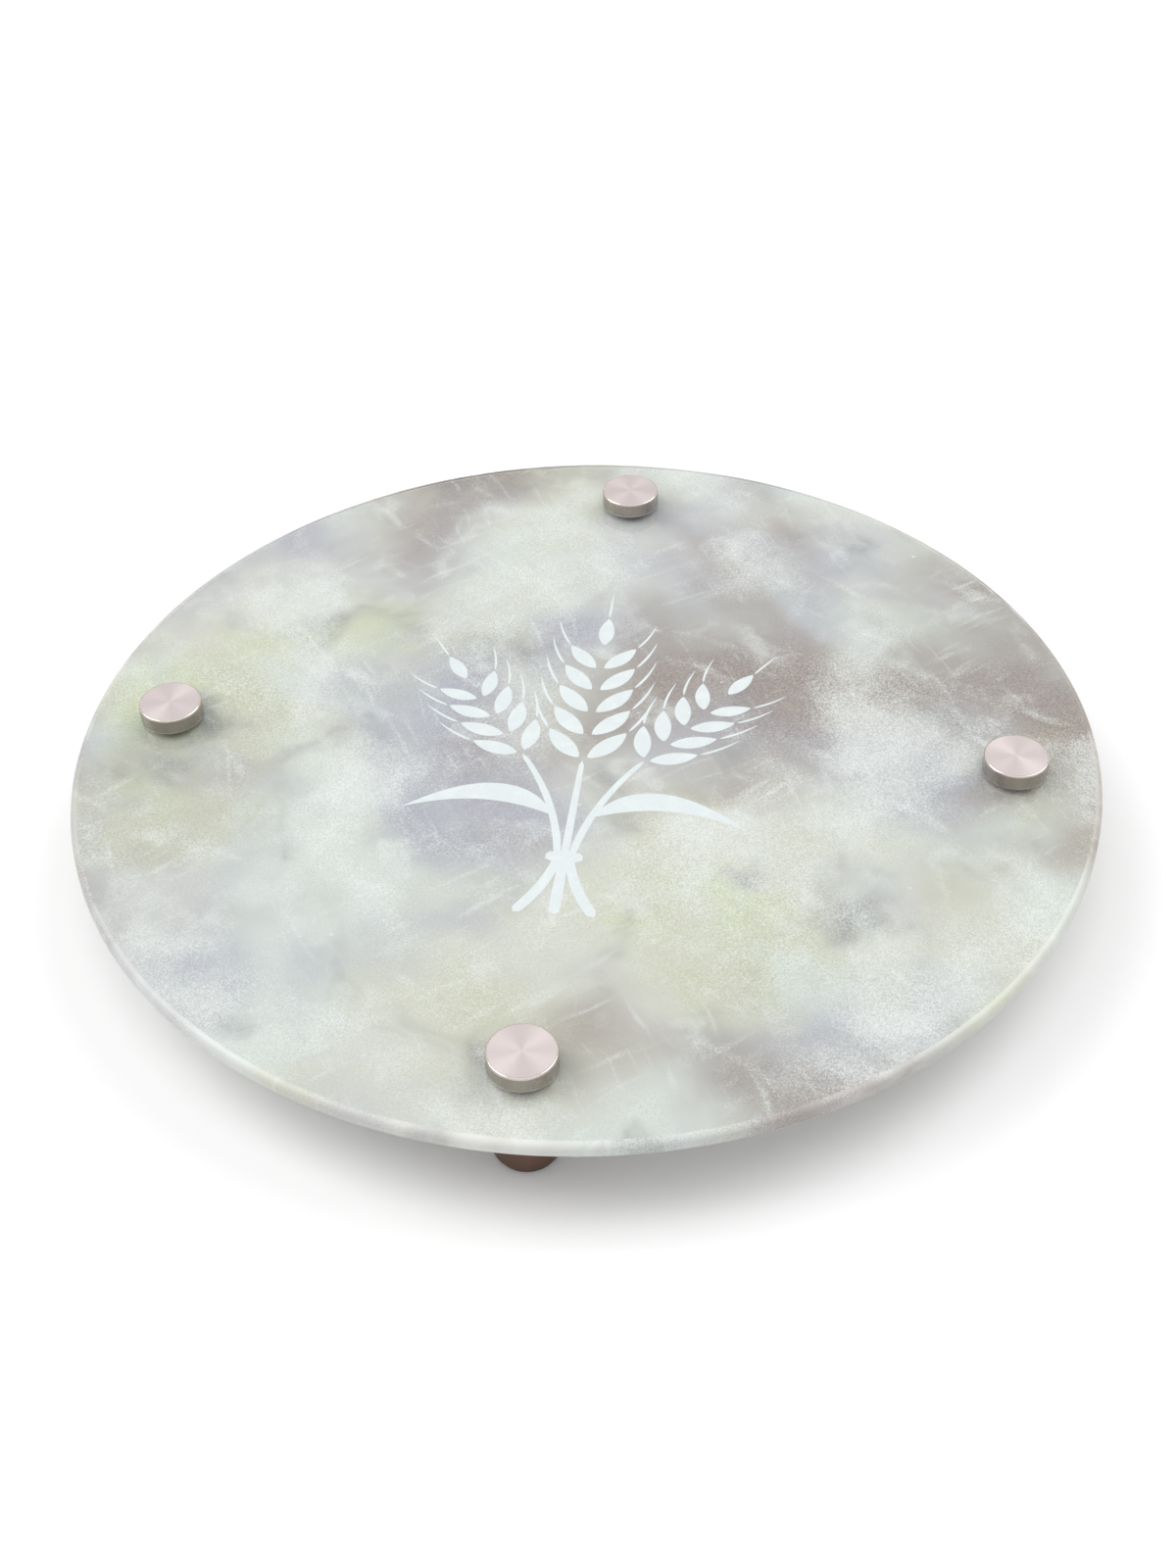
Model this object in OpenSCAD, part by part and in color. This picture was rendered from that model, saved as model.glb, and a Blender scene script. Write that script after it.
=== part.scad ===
// Round serving plate of glass with a printed film under it, carried on four feet.
// Each foot is a stand-off: a cap and its stud go down through the glass into a barrel,
// with soft washers above and below the glass and a sleeve round the stud.
// Millimetres, +Z up. The origin is on the table, under the middle of the plate.

/* [Plate] */
// Diameter of the glass disc
plate_d = 305; // [240:1:420]
// Thickness of the glass
glass_t = 4; // [3:0.5:8]
// Radius of the rounded upper edge of the glass
edge_r = 2; // [0.5:0.1:2.5]
// Chamfer on the lower edge of the glass
edge_chamfer = 0.3; // [0.1:0.1:0.4]
// Thickness of the printed film under the glass
film_t = 0.25; // [0.1:0.05:0.8]
// Bare glass between the film and the chamfer
film_margin = 0.1; // [0:0.1:4]

/* [Feet] */
// Distance from the rim of the glass to the middle of a foot
foot_inset = 25.4; // [18:0.1:40]
// Diameter of a barrel
barrel_d = 19; // [16:0.5:30]
// Height of a barrel
barrel_h = 25.4; // [16:0.1:60]
// Chamfer on both edges of a barrel
barrel_chamfer = 0.4; // [0.2:0.1:1]
// Thickness of the soft pad under a barrel
pad_t = 1.6; // [1:0.1:4]
// How far the pad stays inside the side of the barrel
pad_setback = 1; // [0.6:0.1:3]
// Radius of the pad's lower edge
pad_round = 0.4; // [0.1:0.1:0.8]

/* [Caps] */
// Diameter of a cap
cap_d = 19; // [16:0.5:30]
// Height of a cap
cap_h = 5; // [3.5:0.1:10]
// Chamfer on the upper edge of a cap
cap_chamfer = 0.3; // [0.2:0.1:1]
// Solid metal in a cap above the end of its stud
cap_roof = 1.5; // [1:0.1:2]

/* [Studs and seals] */
// Diameter of a stud over its thread
stud_d = 8; // [5:0.5:9]
// Length of a stud held in the thread of the barrel
stud_engage = 10; // [6:0.5:12]
// Chamfer on both ends of a stud
stud_chamfer = 0.8; // [0.3:0.1:1.2]
// Free depth of the barrel's bore below the stud
bore_spare = 2; // [1:0.5:2.5]
// Thickness of the washer between a cap and the glass
upper_washer_t = 0.8; // [0.5:0.1:2]
// Thickness of the washer between a barrel and the film
lower_washer_t = 1.5; // [0.5:0.1:3]
// How far a washer stays inside the side of its cap or barrel
washer_setback = 1; // [0.5:0.1:1.5]
// Wall of the sleeve round a stud
sleeve_wall = 1.6; // [1:0.1:2]

/* [Fits] */
// Radial clearance between a stud and the holes it screws into
thread_clear = 0.05; // [0.02:0.01:0.1]
// Radial clearance between a stud and its sleeve and washers
stud_slip = 0.2; // [0.1:0.05:0.4]
// Radial clearance between a sleeve and the hole in the glass
sleeve_clear = 0.15; // [0.1:0.05:0.4]

/* [Hidden] */
$fn = 96;

// Radius of the circle that the feet stand on
foot_ring_r = plate_d / 2 - foot_inset;
// Radii that fit round the stud
tapped_r = stud_d / 2 + thread_clear;
slip_r = stud_d / 2 + stud_slip;
sleeve_r = slip_r + sleeve_wall;
glass_hole_r = sleeve_r + sleeve_clear;
// Radii that follow the cap and the barrel
upper_washer_r = cap_d / 2 - washer_setback;
lower_washer_r = barrel_d / 2 - washer_setback;
pad_r = barrel_d / 2 - pad_setback;
film_r = plate_d / 2 - edge_chamfer - film_margin;
// Depths of the tapped holes, and the half angle of a drill's point
cap_socket = cap_h - cap_roof;
bore_depth = stud_engage + bore_spare;
drill_half_angle = 59;

// Levels, from the table up
barrel_z = pad_t;
lower_washer_z = barrel_z + barrel_h;
film_z = lower_washer_z + lower_washer_t;
glass_z = film_z + film_t;
upper_washer_z = glass_z + glass_t;
cap_z = upper_washer_z + upper_washer_t;
stud_z = lower_washer_z - stud_engage;
stud_len = cap_z + cap_socket - stud_z;

// The feet, a quarter turn apart, counted from +X
FEET = ["right", "back", "left", "front"];
FOOT_PIECES = ["cap", "stud", "upper_washer", "sleeve", "lower_washer", "barrel", "foot_pad"];

// Puts a piece on the axis of foot number i, at height z
module at_foot(i, z) {
    rotate([0, 0, 90 * i]) translate([foot_ring_r, 0, z]) children();
}

// Flat ring with a plain hole
module ring(outer_r, inner_r, h) {
    rotate_extrude() translate([inner_r, 0]) square([outer_r - inner_r, h]);
}

// Holes for all four sleeves through a layer of thickness t at level z, cut one thickness past both faces
module sleeve_holes(z, t) {
    for (i = [0 : len(FEET) - 1])
        at_foot(i, z - t) cylinder(r = glass_hole_r, h = t + 2 * t);
}

// Disc whose upper edge is rounded and whose lower edge is chamfered
module glass_plate() {
    r = plate_d / 2;
    round_z = glass_t - edge_r;
    color([0.86, 0.92, 0.89, 0.5]) difference() {
        translate([0, 0, glass_z]) rotate_extrude() {
            polygon([
                [0, 0],
                [r - edge_chamfer, 0],
                [r, edge_chamfer],
                [r, round_z],
                [r - edge_r, round_z],
                [r - edge_r, glass_t],
                [0, glass_t]
            ]);
            translate([r - edge_r, round_z]) circle(edge_r);
        }
        sleeve_holes(glass_z, glass_t);
    }
}

module printed_film() {
    color([0.83, 0.85, 0.81]) difference() {
        translate([0, 0, film_z]) cylinder(r = film_r, h = film_t);
        sleeve_holes(film_z, film_t);
    }
}

// Cap with a chamfered top and a blind tapped hole from below
module cap() {
    r = cap_d / 2;
    color([0.78, 0.74, 0.74]) rotate_extrude() polygon([
        [0, cap_socket],
        [tapped_r, cap_socket],
        [tapped_r, 0],
        [r, 0],
        [r, cap_h - cap_chamfer],
        [r - cap_chamfer, cap_h],
        [0, cap_h]
    ]);
}

// Threaded stud, drawn over its thread, fixed in the cap and screwed into the barrel
module stud() {
    r = stud_d / 2;
    color([0.72, 0.72, 0.73]) rotate_extrude() polygon([
        [0, 0],
        [r - stud_chamfer, 0],
        [r, stud_chamfer],
        [r, stud_len - stud_chamfer],
        [r - stud_chamfer, stud_len],
        [0, stud_len]
    ]);
}

module upper_washer() {
    color([0.2, 0.21, 0.2]) ring(upper_washer_r, slip_r, upper_washer_t);
}

module lower_washer() {
    color([0.2, 0.21, 0.2]) ring(lower_washer_r, slip_r, lower_washer_t);
}

// Sleeve that centres the stud in the hole, as long as glass and film are thick
module sleeve() {
    color([0.2, 0.21, 0.2]) ring(sleeve_r, slip_r, glass_t + film_t);
}

// Barrel with a blind tapped bore from above that ends in a drill's point
module barrel() {
    r = barrel_d / 2;
    floor_z = barrel_h - bore_depth;
    point_z = floor_z - tapped_r / tan(drill_half_angle);
    color([0.42, 0.33, 0.28]) rotate_extrude() polygon([
        [0, 0],
        [r - barrel_chamfer, 0],
        [r, barrel_chamfer],
        [r, barrel_h - barrel_chamfer],
        [r - barrel_chamfer, barrel_h],
        [tapped_r, barrel_h],
        [tapped_r, floor_z],
        [0, point_z]
    ]);
}

// Pad whose lower edge is rounded
module foot_pad() {
    color([0.16, 0.15, 0.15]) rotate_extrude() {
        square([pad_r - pad_round, pad_t]);
        translate([0, pad_round]) square([pad_r, pad_t - pad_round]);
        translate([pad_r - pad_round, pad_round]) circle(pad_round);
    }
}

glass_plate();
printed_film();
for (i = [0 : len(FEET) - 1]) {
    foot = FEET[i];
    at_foot(i, cap_z) cap();
    at_foot(i, stud_z) stud();
    at_foot(i, upper_washer_z) upper_washer();
    at_foot(i, film_z) sleeve();
    at_foot(i, lower_washer_z) lower_washer();
    at_foot(i, barrel_z) barrel();
    at_foot(i, 0) foot_pad();
}
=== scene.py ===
"""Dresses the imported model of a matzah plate: a glass disc on four stand-off feet, with a print under it."""

from math import cos, pi, radians, sin, tan
from typing import NamedTuple

import bmesh
import bpy
import numpy as np
from bpy.props import FloatProperty, FloatVectorProperty, IntProperty, PointerProperty
from mathutils import Matrix, Vector


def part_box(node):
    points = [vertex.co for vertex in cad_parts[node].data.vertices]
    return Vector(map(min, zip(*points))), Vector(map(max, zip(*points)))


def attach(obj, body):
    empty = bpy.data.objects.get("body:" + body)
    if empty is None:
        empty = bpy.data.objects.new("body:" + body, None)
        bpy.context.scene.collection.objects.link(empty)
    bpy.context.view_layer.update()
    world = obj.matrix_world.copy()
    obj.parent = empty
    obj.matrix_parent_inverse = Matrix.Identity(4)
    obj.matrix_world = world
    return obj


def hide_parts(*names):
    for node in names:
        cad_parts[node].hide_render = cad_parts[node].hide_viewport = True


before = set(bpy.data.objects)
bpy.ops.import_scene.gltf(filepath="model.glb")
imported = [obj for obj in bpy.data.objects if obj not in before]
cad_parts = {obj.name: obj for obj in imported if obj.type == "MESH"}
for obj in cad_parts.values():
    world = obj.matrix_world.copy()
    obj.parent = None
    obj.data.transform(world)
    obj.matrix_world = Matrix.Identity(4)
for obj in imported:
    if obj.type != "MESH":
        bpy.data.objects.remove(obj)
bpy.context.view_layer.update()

bl_info = {
    "name": "Matzah plate",
    "version": (1, 0, 0),
    "blender": (4, 5, 0),
    "location": "View3D > Sidebar > Matzah plate",
    "description": "Makes the glass, print, stand-off feet and studio of a matzah plate around its model",
    "category": "Add Mesh",
}

MM = 0.001
CM = 0.01
FEET = ("right", "back", "left", "front")


# Measures taken from the model's nodes


class Round(NamedTuple):
    """Place and size of an upright round node."""

    centre: np.ndarray
    radius: float
    low: float
    high: float


def round_node(node):
    """Reads a round node's axis, radius and levels from its box."""
    low, high = (np.array(corner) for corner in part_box(node))
    middle = (low + high) / 2
    return Round(middle[:2], max(high[:2] - low[:2]) / 2, low[2], high[2])


def foot_nodes(piece):
    """Yields each foot's name, its node for a piece and that node's measures."""
    for foot in FEET:
        node = f"{foot}_{piece}"
        yield foot, node, round_node(node)


# Settings that a user would change


def length(label, text, millimetres):
    return FloatProperty(name=label, description=text, default=millimetres * MM, unit="LENGTH", precision=5)


def colour(label, text, value):
    return FloatVectorProperty(
        name=label, description=text, default=value, size=3, subtype="COLOR", min=0.0, max=1.0
    )


def angle(label, text, degrees):
    return FloatProperty(name=label, description=text, default=radians(degrees), subtype="ANGLE")


def amount(label, text, value):
    return FloatProperty(name=label, description=text, default=value, min=0.0)


class PlateTopSettings(bpy.types.PropertyGroup):
    """Glass disc, printed film and white spray."""

    edge_round: length("Edge radius", "Radius of the rounded upper edge of the glass", 2.0)
    edge_chamfer: length("Edge chamfer", "Chamfer on the lower edge of the glass", 0.3)
    bond: length("Bond", "How deep the film is set into the glass that it sticks to", 0.02)
    ink: length("Ink", "Thickness of the white ink", 0.04)
    sleeve_gap: length("Sleeve gap", "Clearance between a sleeve and its hole in the glass", 0.15)
    glass_tint: colour("Glass", "Tint of the glass", (0.965, 0.988, 0.973))
    edge_tint: colour("Glass edge", "Ground edge of the glass", (0.88, 0.90, 0.86))
    ground: colour("Wash ground", "Pale ground of the print", (0.765, 0.77, 0.715))
    olive: colour("Wash olive", "Warm pale patches of the print", (0.60, 0.585, 0.39))
    lime: colour("Wash lime", "Yellow-green patches of the print", (0.66, 0.72, 0.42))
    mint: colour("Wash mint", "Cool pale patches of the print", (0.77, 0.845, 0.805))
    lavender: colour("Wash lavender", "Blue-grey patches of the print", (0.405, 0.395, 0.50))
    taupe: colour("Wash taupe", "Brown-grey patches of the print", (0.25, 0.165, 0.13))
    slate: colour("Wash slate", "Dark grey touches of the print", (0.18, 0.175, 0.19))
    mist: colour("Wash mist", "Nearly white drifts of the print", (0.92, 0.935, 0.93))
    film_back: colour("Film back", "Underside of the film", (0.80, 0.80, 0.78))
    spray_ink: colour("Spray ink", "White ink of the wheat spray", (0.82, 0.86, 0.89))
    spray_height: length("Spray height", "Height of the wheat spray", 150.0)


class PlateFeetSettings(bpy.types.PropertyGroup):
    """Caps, studs, seals, barrels and pads."""

    cap_chamfer: length("Cap chamfer", "Chamfer round the top of a cap", 0.3)
    cap_roof: length("Cap roof", "Metal in a cap above its stud", 1.5)
    barrel_chamfer: length("Barrel chamfer", "Chamfer on both edges of a barrel", 0.4)
    bore_depth: length("Bore depth", "Depth of the tapped bore in a barrel", 12.0)
    drill_half_angle: angle("Drill point", "Half angle of the point at the end of the bore", 59.0)
    thread_clear: length("Thread clearance", "Clearance between a stud and its tapped holes", 0.05)
    stud_slip: length("Stud clearance", "Clearance between a stud and its washers", 0.2)
    stud_chamfer: length("Stud chamfer", "Chamfer on both ends of a stud", 0.8)
    thread_pitch: length("Thread pitch", "Rise of the stud's thread in one turn", 1.25)
    thread_depth: length("Thread depth", "Depth of the stud's thread", 0.7)
    pad_round: length("Pad radius", "Radius of the lower edge of a pad", 0.4)
    seal_round: length("Seal radius", "Radius on the edges of a washer", 0.15)
    sides: IntProperty(name="Sides", description="Faces round a turned piece", default=128, min=16)
    cap_steel: colour("Cap steel", "Brushed steel on top of the caps", (0.71, 0.63, 0.625))
    # Darker than the cap steel on top: painted shade, standing in for the shaded print that the side reflects.
    cap_side: colour("Cap side", "Turned steel round the caps", (0.40, 0.36, 0.33))
    stud_steel: colour("Stud steel", "Steel of the studs", (0.52, 0.52, 0.53))
    barrel_metal: colour("Barrel metal", "Dark warm metal of the barrels", (0.205, 0.13, 0.098))
    # Near black: painted shade, as dark as the shadowed gap under each cap where the upper washer sits.
    seal: colour("Seal", "Dark soft washers and sleeves", (0.07, 0.073, 0.07))
    pad: colour("Pad", "Rubber of the foot pads", (0.03, 0.029, 0.028))


class PlateStageSettings(bpy.types.PropertyGroup):
    """Camera, light and floor."""

    azimuth: angle("Azimuth", "Turn of the camera from the front", 8.16)
    elevation: angle("Elevation", "Height of the camera above the plate", 41.7)
    roll: angle("Roll", "Turn of the camera about its view", -1.64)
    distance: length("Distance", "From the camera to the plate along the view", 625.6)
    aim_right: length("Aim right", "Place of the plate's middle to the right of the view's", -1.0)
    aim_up: length("Aim up", "Place of the plate's middle above the view's", 12.4)
    focal: amount("Focal length", "In pixels of the photograph", 2129.0)
    floor_side: length("Floor", "Side of the square floor", 6000.0)
    floor: colour("Floor colour", "Pale floor", (0.85, 0.85, 0.85))
    floor_glow: amount("Floor glow", "Light that the floor gives off in the picture", 0.085)
    wall: amount("Wall", "Brightness of the studio's wall in reflections", 0.35)
    ambient: amount("Ambient", "Light from all round on the object", 0.35)
    left: amount("Left", "Strength of the lamp on the left", 1.0)
    right: amount("Right", "Strength of the lamp on the right, a little behind", 0.71)
    above: amount("Above", "Strength of the lamp above, a little in front", 0.89)


# Grids of points


class Patch(NamedTuple):
    """Part of a surface: its points, how near an edge each is, its quads, and map places of their corners."""

    points: np.ndarray
    edge: np.ndarray
    quads: np.ndarray
    places: np.ndarray


def grid_patch(points, along, wrap_rows=False, edge=0.0):
    """Joins a grid of points[row, column] into quads: each point with the next row and the next column.

    Down a row, then across a column, turns anticlockwise seen from outside. The last column joins the
    first, and the last row does so if the rows wrap. The map place of a point is along[row] and its
    share of the way through the columns.
    """
    rows, columns = points.shape[:2]
    around = np.linspace(0, 1, columns + 1)
    row = np.arange(rows if wrap_rows else rows - 1)[:, None]
    column = np.arange(columns)
    corners = ((row, column), (row + 1, column), (row + 1, column + 1), (row, column + 1))
    quads = [r % rows * columns + c % columns for r, c in corners]
    places = [np.stack(np.broadcast_arrays(along[r], around[c]), axis=-1) for r, c in corners]
    return Patch(
        points.reshape(-1, 3),
        np.broadcast_to(edge, (rows, columns)).ravel(),
        np.stack(np.broadcast_arrays(*quads), axis=-1).reshape(-1, 4),
        np.stack(places, axis=2).reshape(-1, 4, 2),
    )


def flipped(patch):
    """The same patch facing the other way."""
    return patch._replace(quads=patch.quads[:, ::-1], places=patch.places[:, ::-1])


def polar(r, a):
    """Plane points x = r cos a, y = r sin a."""
    return np.stack([r * np.cos(a), r * np.sin(a)], axis=-1)


def at_level(flat, level):
    """Plane points lifted to a level, or each to its own."""
    return np.concatenate([flat, np.broadcast_to(level, flat.shape[:-1])[..., None]], axis=-1)


def bend(start, control, end, count=24):
    """Plane curve (1-t)^2 start + 2t(1-t) control + t^2 end."""
    t = np.linspace(0, 1, count)[:, None]
    return (1 - t) ** 2 * np.array(start) + 2 * t * (1 - t) * np.array(control) + t**2 * np.array(end)


EDGE_REACH = 0.3 * MM
SHARP_TURN = radians(5)


def edge_nearness(profile):
    """exp(-(d / EDGE_REACH)^2) at a distance d along a profile from its nearest bend, so 1 at a bend."""
    ahead = np.diff(profile, axis=0)
    direction = np.unwrap(np.arctan2(ahead[:, 1], ahead[:, 0]))
    bends = np.concatenate([[False], np.abs(np.diff(direction)) > SHARP_TURN, [False]])
    reached = np.concatenate([[0], np.cumsum(np.hypot(*ahead.T))])
    if not bends.any():
        return np.zeros(len(profile))
    nearest = np.abs(reached[:, None] - reached[bends]).min(axis=1)
    return np.exp(-((nearest / EDGE_REACH) ** 2))


def turned(profile, centre, sides, closed=False):
    """Turns a profile of (radius, level) about an upright axis.

    x = r cos a and y = r sin a about the centre, z = level, with a going once round. The profile
    runs outwards over a top, down a side and inwards under a base. The map's first place is the
    length along the profile in centimetres, and its second the share of the turn.
    """
    a = np.linspace(0, 2 * pi, sides, endpoint=False)
    r, z = profile[:, :1], profile[:, 1:]
    steps = np.hypot(*np.diff(profile, axis=0, append=profile[:1]).T)
    along = np.concatenate([[0], np.cumsum(steps)]) / CM
    return grid_patch(at_level(centre + polar(r, a), z), along, closed, edge_nearness(profile)[:, None])


NEARLY_HALF = 0.49


def rounded(corners, radii, step=0.5 * MM, arc=6):
    """Profile through corner points, with curves for its inner corners and straight runs cut into steps.

    A corner's curve bends from its radius before the corner to its radius after it, and takes up less
    than half of the run on either side.
    """
    corners = np.array(corners, float)
    curves = [corners[:1]]
    for before, corner, after, radius in zip(corners, corners[1:], corners[2:], radii):
        runs = before - corner, after - corner
        a, b = (corner + run * min(NEARLY_HALF, radius / np.hypot(*run)) for run in runs)
        curves.append(bend(a, corner, b, arc))
    curves.append(corners[-1:])
    joined = []
    for curve, following in zip(curves, curves[1:]):
        count = int(np.hypot(*(following[0] - curve[-1])) / step) + 1
        joined += [curve, np.linspace(curve[-1], following[0], count, endpoint=False)[1:]]
    return np.concatenate(joined + [curves[-1]])


def ring_profile(inner, outer, low, high, radius):
    """Closed profile of a flat ring with rounded edges, from the middle of its top."""
    middle = (inner + outer) / 2
    corners = [(middle, high), (outer, high), (outer, low), (inner, low), (inner, high), (middle, high)]
    return rounded(corners, [radius] * 4)[:-1]


# Drilled discs

DISC_SIDES = 512
CORE_ROWS = 8
HOLE_COLUMNS = 7
HOLE_ROWS = 14
HOLE_SURROUND = 1.75
HOLE_RINGS = 4
WALL_ROWS = 4
RIM_ROW = 0.1 * MM


def sleeve_holes(top):
    """Radius of the ring that the holes for the sleeves stand on, and of one hole."""
    sleeve = round_node("right_sleeve")
    return np.hypot(*sleeve.centre), sleeve.radius + top.sleeve_gap


def hole_rings(ring, hole):
    """Yields, for each hole, points on a frame round it and the points on its circle that face them.

    The frame goes anticlockwise along two arcs and two radial lines of the disc's polar grid. A point
    on the circle lies on the straight line from the hole's centre to its frame point.
    """
    turn = 2 * pi / DISC_SIDES
    half, end = HOLE_SURROUND * hole, HOLE_COLUMNS * turn
    rows = np.linspace(-half, half, HOLE_ROWS, endpoint=False)
    columns = np.arange(-HOLE_COLUMNS, HOLE_COLUMNS) * turn
    r = ring + np.concatenate([rows, half + 0 * columns, -rows, -half + 0 * columns])
    a = np.concatenate([0 * rows - end, columns, 0 * rows + end, -columns])
    for index in range(len(FEET)):
        middle = index * 2 * pi / len(FEET)
        centre, surround = polar(ring, middle), polar(r, a + middle)
        out = surround - centre
        yield surround, centre + hole * out / np.hypot(*out.T)[:, None]


def drilled_sheet(outer, ring, hole, level):
    """Flat disc, facing up, with a round hole on the ring at each quarter turn.

    A polar grid leaves a place free about each hole, which is filled by straight lines from the
    hole's circle to the grid.
    """
    half = HOLE_SURROUND * hole
    core = np.linspace(0, ring - half, CORE_ROWS, endpoint=False)
    beside = np.linspace(ring - half, ring + half, HOLE_ROWS + 1)
    radii = np.concatenate([core, beside, [(ring + half + outer) / 2, outer - RIM_ROW, outer]])
    a = np.arange(DISC_SIDES) * 2 * pi / DISC_SIDES
    whole = grid_patch(at_level(polar(radii[:, None], a), level), radii / CM)
    row, column = np.divmod(np.arange(len(whole.quads)), DISC_SIDES)
    near = (column + HOLE_COLUMNS) % (DISC_SIDES // len(FEET)) < 2 * HOLE_COLUMNS
    kept = ~(near & (row >= CORE_ROWS) & (row < CORE_ROWS + HOLE_ROWS))
    patches = [whole._replace(quads=whole.quads[kept], places=whole.places[kept])]
    share = np.linspace(0, 1, HOLE_RINGS)
    for surround, circle in hole_rings(ring, hole):
        spread = circle + share[:, None, None] * (surround - circle)
        patches.append(grid_patch(at_level(spread, level), share))
    return patches


def drilled_disc(edge, ring, hole):
    """Disc with round holes, from its outer edge's profile: upper face, lower face, edge and hole walls."""
    (outer, high), (base, low) = edge[0], edge[-1]
    front = drilled_sheet(outer, ring, hole, high)
    back = [flipped(patch) for patch in drilled_sheet(base, ring, hole, low)]
    levels = np.linspace(low, high, WALL_ROWS)
    walls = []
    for _, circle in hole_rings(ring, hole):
        wall = np.stack([at_level(circle, level) for level in levels])
        walls.append(grid_patch(wall, levels / CM))
    return front, back, [turned(edge, (0, 0), DISC_SIDES)], walls


# Strips of the wheat spray


def strip(path, half_width, low, high):
    """A box section carried along a plane path, as wide as half_width says.

    Its sides are the path plus and minus the half width along the path's left normal, at two levels.
    """
    ahead = np.gradient(path, axis=0)
    left = np.stack([-ahead[:, 1], ahead[:, 0]], axis=-1)
    left = left * (half_width / np.hypot(*left.T))[:, None]
    sides = np.stack([path + left, path - left, path - left, path + left], axis=1)
    return grid_patch(at_level(sides, [low, low, high, high]), np.linspace(0, 1, len(path)))


def pointed(count, fullest, blunt=1.0):
    """Half width of a leaf, grain or stem from point to point: a power of the sine of the place along it.

    The place is bent so that the sine is 1 at the fullest part. A small power gives a nearly even width.
    """
    s = np.linspace(0, 1, count)[1:-1]
    bent = s ** (np.log(0.5) / np.log(fullest))
    return np.concatenate([[0], np.sin(pi * bent) ** blunt, [0]])


def heading(tilt):
    """Unit vector turned clockwise by tilt from straight up the plate."""
    return np.array([sin(tilt), cos(tilt)])


SPRAY_UNITS = 134.0
INK_STEP = 0.0004 * MM
GRAIN_POINTS = 21
AWN_POINTS = 12
LEAF_POINTS = 33
GRAIN_LEAN = radians(40)


def grain_and_awn(start, tilt, lean, size):
    """A grain that swells away from the axis, and its awn, which carries on from its tip closer to the axis.

    All their measures are shares of the grain's size.
    """
    out, along = heading(tilt + lean), heading(tilt)
    tip = start + size * out
    belly = start + 0.5 * size * (out + 0.16 * (out - along))
    grain = bend(start, belly, tip, GRAIN_POINTS), 0.18 * size * pointed(GRAIN_POINTS, 0.46, 0.8)
    root = tip + 0.05 * size * out
    control = root + 0.45 * size * heading(tilt + 0.85 * lean)
    end = root + 0.95 * size * heading(tilt + 0.55 * lean)
    return [grain, (bend(root, control, end, AWN_POINTS), 0.03 * size * pointed(AWN_POINTS, 0.3, 0.7))]


def wheat_ear(foot, tilt, size, pairs):
    """Paths and half widths of one ear: pairs of grains that lean out from its axis, and one at its tip.

    Pair number k stands k spacings up the axis, and the pairs grow smaller towards the tip. Grains are
    so narrow that a clear gap stays between neighbours.
    """
    axis, side = heading(tilt), heading(tilt + pi / 2)
    spacing, gap = 0.66 * size, 0.08 * size
    drawn = []
    for k in range(pairs):
        shrink = 1 - 0.22 * (k / pairs) ** 2
        for hand in (-1, 1):
            start = foot + spacing * k * axis + hand * gap * side
            drawn += grain_and_awn(start, tilt, hand * GRAIN_LEAN, shrink * size)
    return drawn + grain_and_awn(foot + spacing * (pairs + 0.1) * axis, tilt, 0.0, 0.85 * size)


# From patches to pieces

MERGE_WITHIN = 0.001 * MM
SMOOTH_BELOW = radians(35)


def make_piece(name, patches, materials, body, stands_for=(), finishes=None):
    """Joins patches into one closed mesh with its doubles merged, hangs it on its body, and hides the model's
    nodes that it stands for.
    """
    offsets = np.cumsum([0] + [len(p.points) for p in patches[:-1]])
    quads = np.concatenate([p.quads + offset for p, offset in zip(patches, offsets)])
    used, quads = np.unique(quads, return_inverse=True)
    points = np.concatenate([p.points for p in patches])[used]
    edge = np.concatenate([p.edge for p in patches])[used]
    places = np.concatenate([p.places for p in patches])
    mesh = bpy.data.meshes.new(name)
    mesh.vertices.add(len(points))
    mesh.vertices.foreach_set("co", points.ravel().astype(np.float32))
    mesh.loops.add(quads.size)
    mesh.loops.foreach_set("vertex_index", quads.ravel().astype(np.int32))
    mesh.polygons.add(quads.size // 4)
    mesh.polygons.foreach_set("loop_start", np.arange(0, quads.size, 4, dtype=np.int32))
    mesh.uv_layers.new(name="turned").uv.foreach_set("vector", places.ravel().astype(np.float32))
    mesh.attributes.new("edge", "FLOAT", "POINT").data.foreach_set("value", edge.astype(np.float32))
    if finishes is not None:
        counts = [len(p.quads) for p in patches]
        mesh.polygons.foreach_set("material_index", np.repeat(finishes, counts).astype(np.int32))
    mesh.update(calc_edges=True)
    merged = bmesh.new()
    merged.from_mesh(mesh)
    bmesh.ops.remove_doubles(merged, verts=merged.verts, dist=MERGE_WITHIN)
    open_edges = sum(not line.is_manifold for line in merged.edges)
    merged.to_mesh(mesh)
    merged.free()
    if open_edges:
        raise RuntimeError(f"{name} has {open_edges} open edges")
    mesh.shade_smooth()
    mesh.set_sharp_from_angle(angle=SMOOTH_BELOW)
    for material in materials:
        mesh.materials.append(material)
    piece = bpy.data.objects.new(name, mesh)
    bpy.context.scene.collection.objects.link(piece)
    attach(piece, body)
    if stands_for:
        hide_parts(*stands_for)


# Shader nodes

WHITE = (1.0, 1.0, 1.0, 1.0)
BLACK = (0.0, 0.0, 0.0, 1.0)


def add_node(tree, kind, values=None, **settings):
    """Adds a node with its settings, and sets or links its inputs."""
    made = tree.nodes.new(kind)
    for name, value in settings.items():
        setattr(made, name, value)
    for name, value in (values or {}).items():
        if isinstance(value, bpy.types.NodeSocket):
            tree.links.new(value, made.inputs[name])
        else:
            made.inputs[name].default_value = value
    return made


def maths(tree, operation, a, b=0.0):
    return add_node(tree, "ShaderNodeMath", {0: a, 1: b}, operation=operation).outputs[0]


def times(tree, a, b):
    return maths(tree, "MULTIPLY", a, b)


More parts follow.
